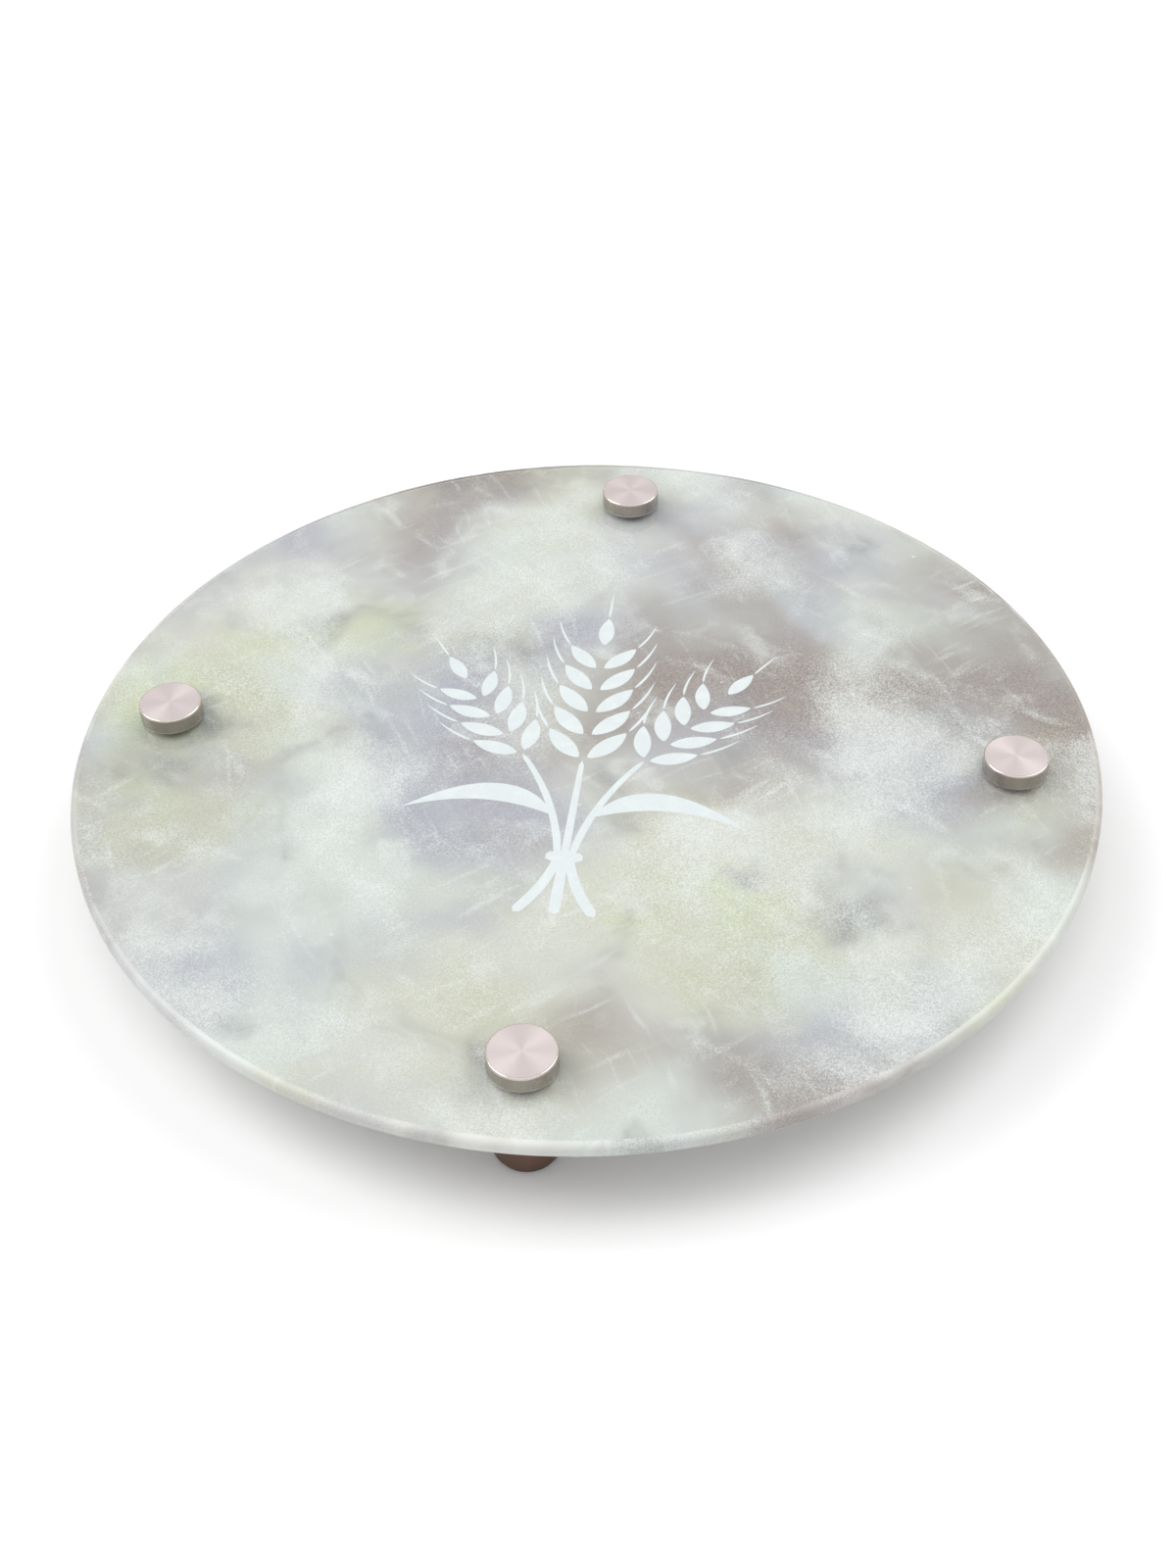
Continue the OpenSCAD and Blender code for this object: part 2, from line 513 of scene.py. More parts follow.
def scale_of(tree, size):
    """Scale of a pattern whose parts have a size."""
    return maths(tree, "DIVIDE", 1.0, size)


def vector_maths(tree, operation, a, b):
    return add_node(tree, "ShaderNodeVectorMath", {0: a, 1: b}, operation=operation).outputs[0]


def rise(tree, value, low, high, to_low=0.0, to_high=1.0):
    """Smooth rise from to_low at low to to_high at high."""
    values = {"Value": value, "From Min": low, "From Max": high, "To Min": to_low, "To Max": to_high}
    return add_node(tree, "ShaderNodeMapRange", values, interpolation_type="SMOOTHSTEP").outputs[0]


def between(tree, share, low, high):
    """Smooth rise from low to high as a share goes from 0 to 1."""
    return rise(tree, share, 0.0, 1.0, low, high)


def blend(tree, share, a, b):
    """Colour a with a share of colour b."""
    return add_node(tree, "ShaderNodeMix", {0: share, 6: a, 7: b}, data_type="RGBA").outputs[2]


def noise(tree, vector, scale, detail=3.0, roughness=0.5, distortion=0.0):
    values = {"Vector": vector, "Scale": scale, "Detail": detail}
    values |= {"Roughness": roughness, "Distortion": distortion}
    return add_node(tree, "ShaderNodeTexNoise", values).outputs


def bump(tree, height, depth):
    return add_node(tree, "ShaderNodeBump", {"Height": height, "Distance": depth}).outputs[0]


def principled(tree, values):
    return add_node(tree, "ShaderNodeBsdfPrincipled", values).outputs[0]


def mix_shader(tree, share, a, b):
    """Shader a with a share of shader b."""
    return add_node(tree, "ShaderNodeMixShader", {0: share, 1: a, 2: b}).outputs[0]


def shade(value, by=1.0):
    """Colour as a socket takes it, made lighter or darker."""
    return (*(min(1.0, part * by) for part in value), 1.0)


# Shared groups of nodes

VECTOR_INPUTS = {"position", "place", "shift", "stroke"}
SLANT = (0.7, 0.5, 0.6)
DRIFT_PUSH = 1.4
SPECKLE = 0.04


def new_group(fill, inputs):
    """Shader group with named inputs, filled by a function that returns its outputs by name."""
    group = bpy.data.node_groups.new(fill.__name__, "ShaderNodeTree")
    for label in inputs:
        kind = "Vector" if label in VECTOR_INPUTS else "Float"
        group.interface.new_socket(label, in_out="INPUT", socket_type=f"NodeSocket{kind}")
    given = add_node(group, "NodeGroupInput").outputs
    made = fill(group, **{label: given[label] for label in inputs})
    for label in made:
        group.interface.new_socket(label, in_out="OUTPUT", socket_type="NodeSocketFloat")
    add_node(group, "NodeGroupOutput", made)
    return group


def grouped(tree, fill, **values):
    """Places a shared group in a tree. It has the name of the function that fills it at its first use."""
    group = bpy.data.node_groups.get(fill.__name__) or new_group(fill, values)
    return add_node(tree, "ShaderNodeGroup", values, node_tree=group).outputs


def fine_grain(group, position, size):
    """Even speckle of a given size: two layers of noise, one over twice as fine as the other."""
    scale = scale_of(group, size)
    coarse = noise(group, position, scale, detail=1.0)[0]
    fine = noise(group, position, times(group, scale, 2.3), detail=0.0)[0]
    both = times(group, maths(group, "ADD", coarse, fine), 0.5)
    return {"grain": rise(group, both, 0.32, 0.68)}


def turned_lines(group, place, lines_per_cm):
    """Fine lines left by turning: noise that is quick along the profile and slow round the axis.

    The share of the turn becomes a point on a circle, so that the lines close on themselves.
    """
    along, share, _ = add_node(group, "ShaderNodeSeparateXYZ", {0: place}).outputs
    turn = times(group, share, 2 * pi)
    circle = {
        0: times(group, along, lines_per_cm),
        1: maths(group, "COSINE", turn),
        2: maths(group, "SINE", turn),
    }
    point = add_node(group, "ShaderNodeCombineXYZ", circle).outputs[0]
    lines = noise(group, point, 1.0, detail=3.0, roughness=0.7)[0]
    bands = noise(group, point, 0.12, detail=1.0)[0]
    return {"lines": rise(group, lines, 0.25, 0.75), "bands": rise(group, bands, 0.3, 0.7)}


def worn_edge(group, edge, position, size):
    """Brighter metal along edges, rubbed bright on studs and barrels and a painted highlight on the caps'
    sides: nearness to an edge, broken up by noise.
    """
    broken = noise(group, position, scale_of(group, size), detail=3.0)[0]
    worn_and_highlit = times(group, edge, between(group, broken, 0.75, 1.25))
    return {"wear": rise(group, worn_and_highlit, 0.45, 0.95)}


def handling(group, position, size):
    """Soft smudges from handling: broad noise, drawn out and broken by its own detail."""
    broad = noise(group, position, scale_of(group, size), detail=4.0, roughness=0.6, distortion=0.6)[0]
    return {"smudge": rise(group, broad, 0.42, 0.72)}


def pushed_place(group, place, size, reach):
    """Place moved about by noise of a size, as far as reach."""
    push = noise(group, place, scale_of(group, size), detail=2.0)["Color"]
    centred = vector_maths(group, "SUBTRACT", push, (0.5, 0.5, 0.5))
    moved = add_node(group, "ShaderNodeVectorMath", {0: centred, "Scale": reach}, operation="SCALE")
    return vector_maths(group, "ADD", place, moved.outputs[0])


def sprayed(group, cover, grain, start, full):
    """Smooth rise of a cover, which the grain breaks up as in sprayed ink."""
    speckle = between(group, grain, -SPECKLE, SPECKLE)
    return rise(group, maths(group, "ADD", cover, speckle), start, full)


def wash_drift(group, position, grain, size, shift, start, full):
    """Drifting cloud of a wash: noise whose place is pushed about by broader noise.

    The noise is cut at a slant, so that its own grid doesn't show.
    """
    slant = {"Vector": position, "Rotation": SLANT}
    place = add_node(group, "ShaderNodeVectorRotate", slant, rotation_type="EULER_XYZ").outputs[0]
    place = vector_maths(group, "ADD", place, shift)
    broader = times(group, size, DRIFT_PUSH)
    place = pushed_place(group, place, size=broader, reach=broader)
    cloud = noise(group, place, scale_of(group, size), detail=4.0, roughness=0.5)[0]
    return {"cloud": sprayed(group, cloud, grain, start, full)}


def wash_strokes(group, position, grain, shift, start, full, direction, stroke):
    """Soft strokes in one direction: noise drawn out along it, gently bent by broader noise."""
    place = vector_maths(group, "ADD", position, shift)
    long = add_node(group, "ShaderNodeSeparateXYZ", {0: stroke}).outputs[0]
    place = pushed_place(group, place, size=times(group, long, 1.5), reach=times(group, long, 0.5))
    turn = {"Vector": place, "Angle": direction}
    along = add_node(group, "ShaderNodeVectorRotate", turn, rotation_type="Z_AXIS").outputs[0]
    drawn_out = vector_maths(group, "DIVIDE", along, stroke)
    strokes = noise(group, drawn_out, 1.0, detail=1.0, roughness=0.4)[0]
    return {"strokes": sprayed(group, strokes, grain, start, full)}


def specks(group, position, spacing, radius, share):
    """Small round specks, one in some cells of a loose grid: 1 within their radius from a cell's point."""
    values = {"Vector": position, "Scale": scale_of(group, spacing)}
    cells = add_node(group, "ShaderNodeTexVoronoi", values).outputs
    chance = add_node(group, "ShaderNodeSeparateColor", {0: cells["Color"]}).outputs
    reach = times(group, radius, maths(group, "ADD", chance[1], 0.4))
    far = times(group, cells["Distance"], spacing)
    near = rise(group, maths(group, "DIVIDE", far, reach), 1.0, 0.6)
    return {"specks": times(group, near, maths(group, "LESS_THAN", chance[0], share))}


# Finishes

EDGE_WASH = 0.85
GRAIN_DARK = 0.2
GRAIN_PALE = 0.27
SPECK_STRENGTH = 0.6


def new_material(name):
    """Empty material, with its tree and the position on the object."""
    material = bpy.data.materials.new(name)
    material.use_nodes = True
    tree = material.node_tree
    tree.nodes.clear()
    return material, tree, add_node(tree, "ShaderNodeTexCoord").outputs["Object"]


def finished(material, shader):
    """The material with a shader on its surface."""
    add_node(material.node_tree, "ShaderNodeOutputMaterial", {"Surface": shader})
    return material


def turned_metal(name, base, lines_per_cm, line_share, rough, directional, worn_and_highlit):
    """Metal turned on a lathe: fine lines round it, smudges, and brighter edges, rubbed metal at a low tone
    and a painted highlight at a high tone.
    """
    material, tree, position = new_material(name)
    place = add_node(tree, "ShaderNodeUVMap", uv_map="turned").outputs[0]
    edge = add_node(tree, "ShaderNodeAttribute", attribute_name="edge").outputs["Fac"]
    marks = grouped(tree, turned_lines, place=place, lines_per_cm=lines_per_cm)
    wear = grouped(tree, worn_edge, edge=edge, position=position, size=1.5 * MM)["wear"]
    smudge = grouped(tree, handling, position=position, size=9 * MM)["smudge"]
    dark, bright = shade(base, 1 - 0.07 * line_share), shade(base, 1 + 0.06 * line_share)
    metal = blend(tree, marks["lines"], dark, bright)
    # The last layer brightens the edges: rubbed metal, and a painted highlight where its tone is high.
    layers = (marks["bands"], 0.25 * line_share, 0.9), (smudge, 0.3, 0.93), (wear, 0.7, worn_and_highlit)
    for mask, strength, tone in layers:
        metal = blend(tree, times(tree, mask, strength), metal, shade(base, tone))
    roughness = between(tree, marks["lines"], rough - 0.04 * line_share, rough + 0.05 * line_share)
    roughness = maths(tree, "ADD", roughness, times(tree, smudge, 0.05))
    roughness = maths(tree, "SUBTRACT", roughness, times(tree, wear, 0.08))
    values = {
        "Base Color": metal,
        "Metallic": 1.0,
        "Roughness": roughness,
        "Anisotropic": directional,
        "Tangent": add_node(tree, "ShaderNodeTangent", direction_type="UV_MAP", uv_map="turned").outputs[0],
        "Normal": bump(tree, marks["lines"], 0.003 * line_share * MM),
    }
    return finished(material, principled(tree, values))


def soft_plastic(name, base, grain_size, rough, depth):
    """Plastic or rubber: fine grain in its colour, gloss and surface, and smudges."""
    material, tree, position = new_material(name)
    grain = grouped(tree, fine_grain, position=position, size=grain_size)["grain"]
    smudge = grouped(tree, handling, position=position, size=6 * MM)["smudge"]
    body = blend(tree, grain, shade(base, 0.9), shade(base, 1.08))
    values = {
        "Base Color": blend(tree, times(tree, smudge, 0.35), body, shade(base, 1.18)),
        "Roughness": between(tree, grain, rough - 0.06, rough + 0.06),
        "Normal": bump(tree, grain, depth),
    }
    return finished(material, principled(tree, values))


def lit_straight(tree, top, shader):
    """A shader of the glass that lamps and diffuse light pass straight, so that the print is lit."""
    straight = add_node(tree, "ShaderNodeBsdfTransparent", {"Color": shade(top.glass_tint)}).outputs[0]
    path = add_node(tree, "ShaderNodeLightPath").outputs
    lit = mix_shader(tree, path["Is Shadow Ray"], shader, straight)
    return mix_shader(tree, path["Is Diffuse Ray"], lit, straight)


def clear_glass(top):
    """Polished glass with a few smudges."""
    material, tree, position = new_material("clear_glass")
    smudge = grouped(tree, handling, position=position, size=45 * MM)["smudge"]
    values = {
        "Base Color": shade(top.glass_tint),
        "Roughness": between(tree, smudge, 0.03, 0.09),
        "IOR": 1.5,
        "Transmission Weight": 1.0,
    }
    return finished(material, lit_straight(tree, top, principled(tree, values)))


def ground_edge(top):
    """Ground edge of the glass: matt, and tinted by the print that shines into it."""
    material, tree, position = new_material("ground_edge")
    wash, grain = wash_colour(tree, top, position)
    values = {
        "Base Color": blend(tree, EDGE_WASH, shade(top.edge_tint), wash),
        "Roughness": between(tree, grain, 0.36, 0.46),
        "IOR": 1.5,
    }
    return finished(material, lit_straight(tree, top, principled(tree, values)))


def wash_colour(tree, top, position):
    """Pale wash and its grain: a ground with drifting patches of sprayed colour, pale strokes and specks.

    Drifts give their colour, size, shift, the cover at which they start and are full, and their strength.
    Strokes give their direction, length, width, shift and strength, and show only within a drift.
    """
    drifts = (
        (top.olive, 125 * MM, (0.31, 0.12, 0.0), 0.40, 0.58, 0.75),
        (top.mint, 80 * MM, (1.27, 0.43, 0.0), 0.46, 0.66, 0.8),
        (top.lime, 55 * MM, (2.41, 1.08, 0.0), 0.54, 0.70, 0.6),
        (top.lavender, 105 * MM, (0.92, 0.35, 0.0), 0.44, 0.68, 0.95),
        (top.taupe, 110 * MM, (2.03, 0.77, 0.0), 0.46, 0.70, 0.88),
        (top.slate, 32 * MM, (1.47, 2.15, 0.0), 0.54, 0.76, 0.65),
        (top.mist, 60 * MM, (1.76, 0.23, 0.0), 0.47, 0.71, 0.8),
        (top.mist, 14 * MM, (3.11, 1.36, 0.0), 0.52, 0.78, 0.4),
    )
    strokes = (
        (35, 26 * MM, 7.0 * MM, (0.53, 0.27, 0.0), 0.5),
        (-40, 22 * MM, 3.2 * MM, (1.13, 0.71, 0.0), 0.4),
        (62, 24 * MM, 2.6 * MM, (0.37, 1.59, 0.0), 0.4),
    )
    grain = grouped(tree, fine_grain, position=position, size=0.5 * MM)["grain"]
    ink = {"position": position, "grain": grain}
    wash = shade(top.ground)
    for tint, size, shift, start, full, strength in drifts:
        cloud = grouped(tree, wash_drift, **ink, size=size, shift=shift, start=start, full=full)["cloud"]
        wash = blend(tree, times(tree, cloud, strength), wash, shade(tint))
    for degrees, long, wide, shift, strength in strokes:
        stroke = {"direction": radians(degrees), "stroke": (long, wide, 1.0)}
        drawn = grouped(tree, wash_strokes, **ink, **stroke, shift=shift, start=0.58, full=0.82)["strokes"]
        within = grouped(tree, wash_drift, **ink, size=40 * MM, shift=shift, start=0.45, full=0.65)["cloud"]
        shown = times(tree, drawn, within)
        wash = blend(tree, times(tree, shown, strength), wash, shade(top.mist))
    dots = grouped(tree, specks, position=position, spacing=12 * MM, radius=0.55 * MM, share=0.35)["specks"]
    return blend(tree, times(tree, dots, SPECK_STRENGTH), wash, shade(top.mist)), grain


def printed_wash(top):
    """Print of a pale wash with a fine grain."""
    material, tree, position = new_material("printed_wash")
    wash, grain = wash_colour(tree, top, position)
    dark, pale = blend(tree, GRAIN_DARK, wash, BLACK), blend(tree, GRAIN_PALE, wash, WHITE)
    values = {
        "Base Color": blend(tree, grain, dark, pale),
        "Roughness": between(tree, grain, 0.55, 0.65),
        "Specular IOR Level": 0.1,
    }
    return finished(material, principled(tree, values))


# Operators

LIP_POINTS = 16
CAP_FACE_ROWS = 14
EDGE_BREAK = 0.15 * MM
BASE_BREAK = 0.12 * MM
BORE_BREAK = 0.1 * MM
MOUTH_BREAK = 0.2 * MM
CREST_FLAT = 0.15
THREAD_FLANK = 0.6


def stud_hole(foot, clearance):
    """Radius of a hole for a foot's stud."""
    return round_node(f"{foot}_stud").radius + clearance


class PieceOperator:
    """What the operators share."""

    bl_options = {"REGISTER", "UNDO"}

    def execute(self, context):
        scene = context.scene
        self.build(scene.plate_top, scene.plate_feet, scene.plate_stage)
        return {"FINISHED"}


class MATZAH_PLATE_OT_glass(PieceOperator, bpy.types.Operator):
    """Glass disc with a rounded upper edge and four holes"""

    bl_idname = "matzah_plate.glass"
    bl_label = "Glass disc"

    def build(self, top, feet, stage):
        glass = round_node("glass_plate")
        low = glass.low - top.bond
        lip = polar(top.edge_round, np.linspace(pi / 2, 0, LIP_POINTS))
        lip += (glass.radius - top.edge_round, glass.high - top.edge_round)
        chamfer = [(glass.radius, low + top.edge_chamfer), (glass.radius - top.edge_chamfer, low)]
        front, back, rim, walls = drilled_disc(np.concatenate([lip, chamfer]), *sleeve_holes(top))
        patches = front + back + rim + walls
        finishes = [0] * len(front + back) + [1] * len(rim) + [0] * len(walls)
        materials = [clear_glass(top), ground_edge(top)]
        make_piece("glass_disc", patches, materials, "plate", ["glass_plate"], finishes)


class MATZAH_PLATE_OT_print(PieceOperator, bpy.types.Operator):
    """Printed film under the glass"""

    bl_idname = "matzah_plate.print"
    bl_label = "Printed film"

    def build(self, top, feet, stage):
        film = round_node("printed_film")
        edge = np.array([(film.radius, film.high), (film.radius, film.low)])
        front, back, rim, walls = drilled_disc(edge, *sleeve_holes(top))
        patches = front + back + rim + walls
        finishes = [0] * len(front) + [1] * len(back + rim + walls)
        plain = soft_plastic("film_back", top.film_back, grain_size=0.8 * MM, rough=0.5, depth=0.01 * MM)
        materials = [printed_wash(top), plain]
        make_piece("print_film", patches, materials, "plate", ["printed_film"], finishes)


class MATZAH_PLATE_OT_spray(PieceOperator, bpy.types.Operator):
    """White wheat spray printed over the wash"""

    bl_idname = "matzah_plate.spray"
    bl_label = "Wheat spray"

    def build(self, top, feet, stage):
        film = round_node("printed_film")
        unit = top.spray_height / SPRAY_UNITS
        low, high = film.high - top.bond / 2, film.high + top.ink
        patches = [
            strip(unit * path, unit * width, low, high + INK_STEP * layer)
            for layer, (path, width) in enumerate(self.drawing())
        ]
        ink = soft_plastic("spray_ink", top.spray_ink, grain_size=0.25 * MM, rough=0.5, depth=0.002 * MM)
        make_piece("wheat_spray", patches, [ink], "plate")

    def drawing(self):
        """Paths and half widths of three ears on stems that are tied together, with two leaves.

        Each stem bends from the tie to the foot of its ear, and its stalk goes on below the tie. Places
        are in the spray's own units, to the right of and above the plate's middle.
        """
        drawn = []
        for hand, tilt, foot, size, pairs in (
            (1, 0.0, (0.0, -4.0), 14.5, 5),
            (1, 34.0, (17.0, -3.0), 13.0, 4),
            (-1, 34.0, (17.0, -3.0), 13.0, 4),
        ):
            mirror = np.array([hand, 1])
            lean = radians(hand * tilt)
            ear_foot = mirror * foot
            drawn += wheat_ear(ear_foot, lean, size, pairs)
            end = ear_foot - 1.2 * heading(lean)
            stem = bend(mirror * (0.05 * tilt, -43.0), end - 22.0 * heading(lean), end)
            below = (-0.04 * tilt, -40.0), (-0.06 * tilt, -52.0), (-0.3 * tilt, -63.0)
            stalk = bend(*(mirror * point for point in below))
            for path, end_width in ((stem, 0.8), (stalk, 1.6)):
                even = pointed(len(path), 0.5, 0.1)
                drawn.append((path, np.linspace(1.15, end_width, len(path)) * even))
        for hand in (-1, 1):
            leaf = bend((5.6 * hand, -27.0), (20.0 * hand, -12.0), (45.0 * hand, -28.0), LEAF_POINTS)
            drawn.append((leaf, 3.4 * pointed(len(leaf), 0.42)))
        tie = bend((-4.8, -42.0), (0.0, -43.6), (4.8, -42.0))
        drawn.append((tie, 1.9 * pointed(len(tie), 0.5, 0.2)))
        return drawn


class MATZAH_PLATE_OT_caps(PieceOperator, bpy.types.Operator):
    """Caps with a chamfered top and a blind hole for the stud"""

    bl_idname = "matzah_plate.caps"
    bl_label = "Caps"

    def build(self, top, feet, stage):
        face = turned_metal(
            "cap_brushed_face", feet.cap_steel,
            lines_per_cm=90.0, line_share=0.25, rough=0.42, directional=0.65, worn_and_highlit=1.2,
        )
        # The side's edges are made 2.2 times brighter: a painted highlight along the chamfer round the top.
        side = turned_metal(
            # The side's colour is the cap steel painted darker, as painted shade.
            "cap_turned_side", feet.cap_side,
            lines_per_cm=60.0, line_share=0.5, rough=0.22, directional=0.3, worn_and_highlit=2.2,
        )
        for foot, node, cap in foot_nodes("cap"):
            bore = stud_hole(foot, feet.thread_clear)
            roof, bevel = cap.high - feet.cap_roof, feet.cap_chamfer
            rim = cap.radius - 2 * bevel
            disc = np.linspace((0, cap.high), (rim, cap.high), CAP_FACE_ROWS)
            corners = [
                (rim, cap.high), (cap.radius - bevel, cap.high), (cap.radius, cap.high - bevel),
                (cap.radius, cap.low), (bore, cap.low), (bore, roof), (0, roof),
            ]
            radii = [EDGE_BREAK, EDGE_BREAK, BASE_BREAK, BORE_BREAK, BORE_BREAK]
            patches = [turned(p, cap.centre, feet.sides) for p in (disc, rounded(corners, radii))]
            body = f"{foot}_screw_cap"
            make_piece(f"cap_{foot}", patches, [face, side], body, [node], finishes=[0, 1])


class MATZAH_PLATE_OT_studs(PieceOperator, bpy.types.Operator):
    """Studs with a screw thread"""

    bl_idname = "matzah_plate.studs"
    bl_label = "Studs"

    def build(self, top, feet, stage):
        finish = turned_metal(
            "stud_steel", feet.stud_steel,
            lines_per_cm=60.0, line_share=1.0, rough=0.32, directional=0.3, worn_and_highlit=1.3,
        )
        for foot, node, stud in foot_nodes("stud"):
            patch = self.thread(stud, feet)
            make_piece(f"stud_{foot}", [patch], [finish], f"{foot}_screw_cap", [node])

    def thread(self, stud, feet, rows_per_turn=14):
        """Radius over turn a and level z: the crest's, less the depth times the distance from the helix.

        The helix rises one pitch in a turn. The distance is 0 at a crest and 1 at a root, with both
        flattened, and the two ends are held inside their chamfers.
        """
        rows = int((stud.high - stud.low) / feet.thread_pitch * rows_per_turn)
        z = np.linspace(stud.high, stud.low, rows)[:, None]
        a = np.linspace(0, 2 * pi, feet.sides // 2, endpoint=False)
        from_crest = 2 * np.abs((z / feet.thread_pitch - a / (2 * pi)) % 1 - 0.5)
        r = stud.radius - feet.thread_depth * np.clip((from_crest - CREST_FLAT) / THREAD_FLANK, 0, 1)
        from_end = np.minimum(stud.high - z, z - stud.low)
        r = np.minimum(r, stud.radius - feet.stud_chamfer + from_end)
        r = np.concatenate([0 * r[:1], r, 0 * r[:1]])
        z = np.concatenate([z[:1], z, z[-1:]])
        return grid_patch(at_level(stud.centre + polar(r, a), z), (stud.high - z[:, 0]) / CM)


class MATZAH_PLATE_OT_seals(PieceOperator, bpy.types.Operator):
    """Soft washers above and below the glass, and sleeves in its holes"""

    bl_idname = "matzah_plate.seals"
    bl_label = "Washers and sleeves"

    def build(self, top, feet, stage):
        # The washers and sleeves are near black: painted shade for the gap under each cap.
        finish = soft_plastic("soft_seal", feet.seal, grain_size=0.5 * MM, rough=0.42, depth=0.008 * MM)
        for piece, body in (("upper_washer", "{}_seal_ring"), ("sleeve", "plate"), ("lower_washer", "plate")):
            for foot, node, seal in foot_nodes(piece):
                inner = stud_hole(foot, feet.stud_slip)
                profile = ring_profile(inner, seal.radius, seal.low, seal.high, feet.seal_round)
                patch = turned(profile, seal.centre, feet.sides, closed=True)
                make_piece(f"{piece}_{foot}", [patch], [finish], body.format(foot), [node])


class MATZAH_PLATE_OT_barrels(PieceOperator, bpy.types.Operator):
    """Barrels with a blind bore from above that ends in a drill's point"""

    bl_idname = "matzah_plate.barrels"
    bl_label = "Barrels"

    def build(self, top, feet, stage):
        finish = turned_metal(
            "barrel_dark_metal", feet.barrel_metal,
            lines_per_cm=70.0, line_share=0.8, rough=0.34, directional=0.5, worn_and_highlit=1.3,
        )
        for foot, node, barrel in foot_nodes("barrel"):
            bore = stud_hole(foot, feet.thread_clear)
            floor = barrel.high - feet.bore_depth
            bevel = feet.barrel_chamfer
            corners = [
                (0, floor - bore / tan(feet.drill_half_angle)), (bore, floor), (bore, barrel.high),
                (barrel.radius - bevel, barrel.high), (barrel.radius, barrel.high - bevel),
                (barrel.radius, barrel.low + bevel), (barrel.radius - bevel, barrel.low), (0, barrel.low),
            ]
            radii = [BORE_BREAK, MOUTH_BREAK] + [EDGE_BREAK] * 4
            patch = turned(rounded(corners, radii), barrel.centre, feet.sides)
            make_piece(f"barrel_{foot}", [patch], [finish], "plate", [node])


class MATZAH_PLATE_OT_pads(PieceOperator, bpy.types.Operator):
    """Soft pads under the barrels"""

    bl_idname = "matzah_plate.pads"
    bl_label = "Foot pads"

    def build(self, top, feet, stage):
        finish = soft_plastic("pad_rubber", feet.pad, grain_size=0.4 * MM, rough=0.75, depth=0.03 * MM)
        for foot, node, pad in foot_nodes("foot_pad"):
            corners = [(0, pad.high), (pad.radius, pad.high), (pad.radius, pad.low), (0, pad.low)]
            patch = turned(rounded(corners, [EDGE_BREAK, feet.pad_round]), pad.centre, feet.sides)
            make_piece(f"pad_{foot}", [patch], [finish], "plate", [node])


PHOTO_HEIGHT = 1600
SENSOR = 36.0
CAMERA_NEAR = 10 * MM
LAMP_SPREAD = radians(40)
LAMP_DIRECTIONS = {
    "left": (-0.64, 0.0, 0.77),
    "right": (0.56, 0.32, 0.77),
    "above": (0.0, -0.26, 0.97),
}
WALL_LOW = 0.1
WALL_TOP = 0.55


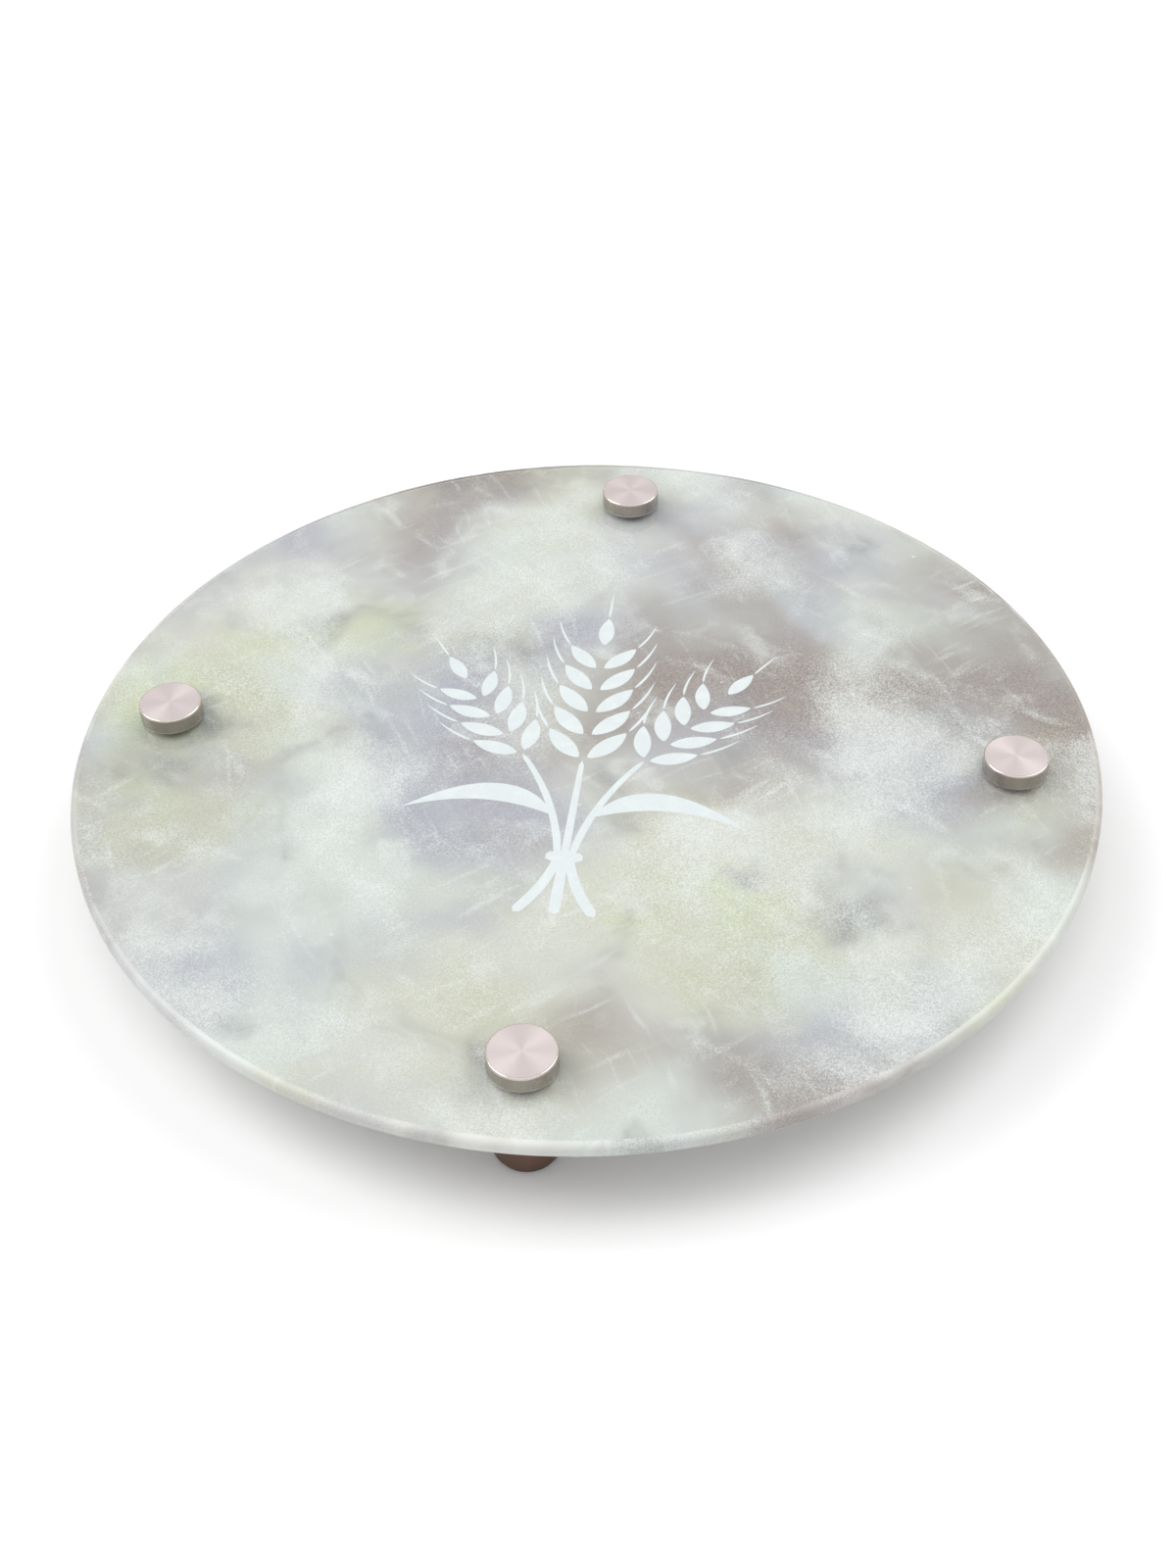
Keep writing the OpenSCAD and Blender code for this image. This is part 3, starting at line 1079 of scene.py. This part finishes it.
class MATZAH_PLATE_OT_stage(PieceOperator, bpy.types.Operator):
    """White floor, soft light and the camera of the photograph"""

    bl_idname = "matzah_plate.stage"
    bl_label = "Studio"

    def build(self, top, feet, stage):
        scene = bpy.context.scene
        scene.view_settings.view_transform = "Standard"
        self.floor(scene, stage)
        self.world(scene, stage)
        for name, towards in LAMP_DIRECTIONS.items():
            lamp = self.lamp(scene, f"lamp_{name}", getattr(stage, name), towards)
            lamp.visible_glossy = name != "above"
        self.camera(scene, stage)

    def floor(self, scene, stage):
        """Square at table height, white to the camera and in reflections, and clear from below."""
        half = stage.floor_side / 2
        corners = [(-half, -half, 0), (half, -half, 0), (half, half, 0), (-half, half, 0)]
        mesh = bpy.data.meshes.new("floor")
        mesh.from_pydata(corners, [], [(0, 1, 2, 3)])
        floor = bpy.data.objects.new("floor", mesh)
        scene.collection.objects.link(floor)
        material, tree, position = new_material("floor_paper")
        grain = grouped(tree, fine_grain, position=position, size=1.5 * MM)["grain"]
        paper = blend(tree, grain, shade(stage.floor, 0.99), shade(stage.floor, 1.01))
        plain, white = (
            add_node(tree, "ShaderNodeBsdfDiffuse", {"Color": tint}).outputs[0] for tint in (paper, WHITE)
        )
        glow = add_node(tree, "ShaderNodeEmission", {"Strength": stage.floor_glow}).outputs[0]
        shown = add_node(tree, "ShaderNodeAddShader", {0: white, 1: glow}).outputs[0]
        mixed = mix_shader(tree, self.seen(tree), plain, shown)
        under = add_node(tree, "ShaderNodeNewGeometry").outputs["Backfacing"]
        clear = add_node(tree, "ShaderNodeBsdfTransparent").outputs[0]
        mesh.materials.append(finished(material, mix_shader(tree, under, mixed, clear)))

    def seen(self, tree):
        """1 for what the camera sees straight, in a reflection or through glass."""
        path = add_node(tree, "ShaderNodeLightPath").outputs
        mirrored = maths(tree, "MAXIMUM", path["Is Glossy Ray"], path["Is Transmission Ray"])
        return maths(tree, "MAXIMUM", path["Is Camera Ray"], mirrored)

    def world(self, scene, stage):
        """Plain even light on the object, white to the camera, with a grey wall low down in reflections."""
        world = bpy.data.worlds.new("studio")
        world.use_nodes = True
        tree = world.node_tree
        tree.nodes.clear()
        direction = {0: add_node(tree, "ShaderNodeTexCoord").outputs["Generated"]}
        height = add_node(tree, "ShaderNodeSeparateXYZ", direction).outputs[2]
        straight = add_node(tree, "ShaderNodeLightPath").outputs["Is Camera Ray"]
        studio = maths(tree, "MAXIMUM", straight, rise(tree, height, WALL_LOW, WALL_TOP, stage.wall, 1.0))
        light, shown = (
            add_node(tree, "ShaderNodeBackground", {"Color": WHITE, "Strength": strength}).outputs[0]
            for strength in (stage.ambient, studio)
        )
        mixed = mix_shader(tree, self.seen(tree), light, shown)
        add_node(tree, "ShaderNodeOutputWorld", {"Surface": mixed})
        scene.world = world

    def lamp(self, scene, name, strength, towards):
        """Wide soft lamp as far off as the sun, that shines from a direction."""
        light = bpy.data.lights.new(name, "SUN")
        light.energy = strength
        light.angle = LAMP_SPREAD
        lamp = bpy.data.objects.new(name, light)
        lamp.rotation_euler = Vector(towards).to_track_quat("Z", "Y").to_euler()
        scene.collection.objects.link(lamp)
        return lamp

    def camera(self, scene, stage):
        """Camera on a sphere about the middle of the glass, turned about its view and then shifted sideways.

        The glass lies at (aim_right, aim_up) in the view, at the distance along it.
        """
        a, e, roll = stage.azimuth, stage.elevation, stage.roll
        right = Vector((cos(a), sin(a), 0))
        back = Vector((sin(a) * cos(e), -cos(a) * cos(e), sin(e)))
        up = back.cross(right)
        right, up = cos(roll) * right + sin(roll) * up, cos(roll) * up - sin(roll) * right
        middle = Vector((0, 0, round_node("glass_plate").high))
        place = middle - stage.aim_right * right - stage.aim_up * up + stage.distance * back
        data = bpy.data.cameras.new("camera")
        data.sensor_width = SENSOR
        data.lens = stage.focal / PHOTO_HEIGHT * SENSOR
        data.clip_start = CAMERA_NEAR
        camera = bpy.data.objects.new("camera", data)
        rotation = Matrix((right, up, back)).transposed().to_4x4()
        camera.matrix_world = Matrix.Translation(place) @ rotation
        scene.collection.objects.link(camera)
        scene.camera = camera


OPERATORS = (
    MATZAH_PLATE_OT_glass,
    MATZAH_PLATE_OT_print,
    MATZAH_PLATE_OT_spray,
    MATZAH_PLATE_OT_caps,
    MATZAH_PLATE_OT_studs,
    MATZAH_PLATE_OT_seals,
    MATZAH_PLATE_OT_barrels,
    MATZAH_PLATE_OT_pads,
    MATZAH_PLATE_OT_stage,
)
SETTINGS = {"plate_top": PlateTopSettings, "plate_feet": PlateFeetSettings, "plate_stage": PlateStageSettings}


class MATZAH_PLATE_PT_pieces(bpy.types.Panel):
    """Sidebar list of the plate's pieces and their settings"""

    bl_label = "Matzah plate"
    bl_space_type = "VIEW_3D"
    bl_region_type = "UI"
    bl_category = "Matzah plate"

    def draw(self, context):
        for operator in OPERATORS:
            self.layout.operator(operator.bl_idname)
        for name, group in SETTINGS.items():
            box = self.layout.box()
            for setting in group.__annotations__:
                box.prop(getattr(context.scene, name), setting)


CLASSES = (*SETTINGS.values(), *OPERATORS, MATZAH_PLATE_PT_pieces)


def register():
    for item in CLASSES:
        bpy.utils.register_class(item)
    for name, group in SETTINGS.items():
        setattr(bpy.types.Scene, name, PointerProperty(type=group))


def unregister():
    for name in SETTINGS:
        delattr(bpy.types.Scene, name)
    for item in reversed(CLASSES):
        bpy.utils.unregister_class(item)


def main():
    register()
    for operator in OPERATORS:
        getattr(bpy.ops.matzah_plate, operator.bl_idname.split(".")[1])()


if __name__ == "__main__":
    main()
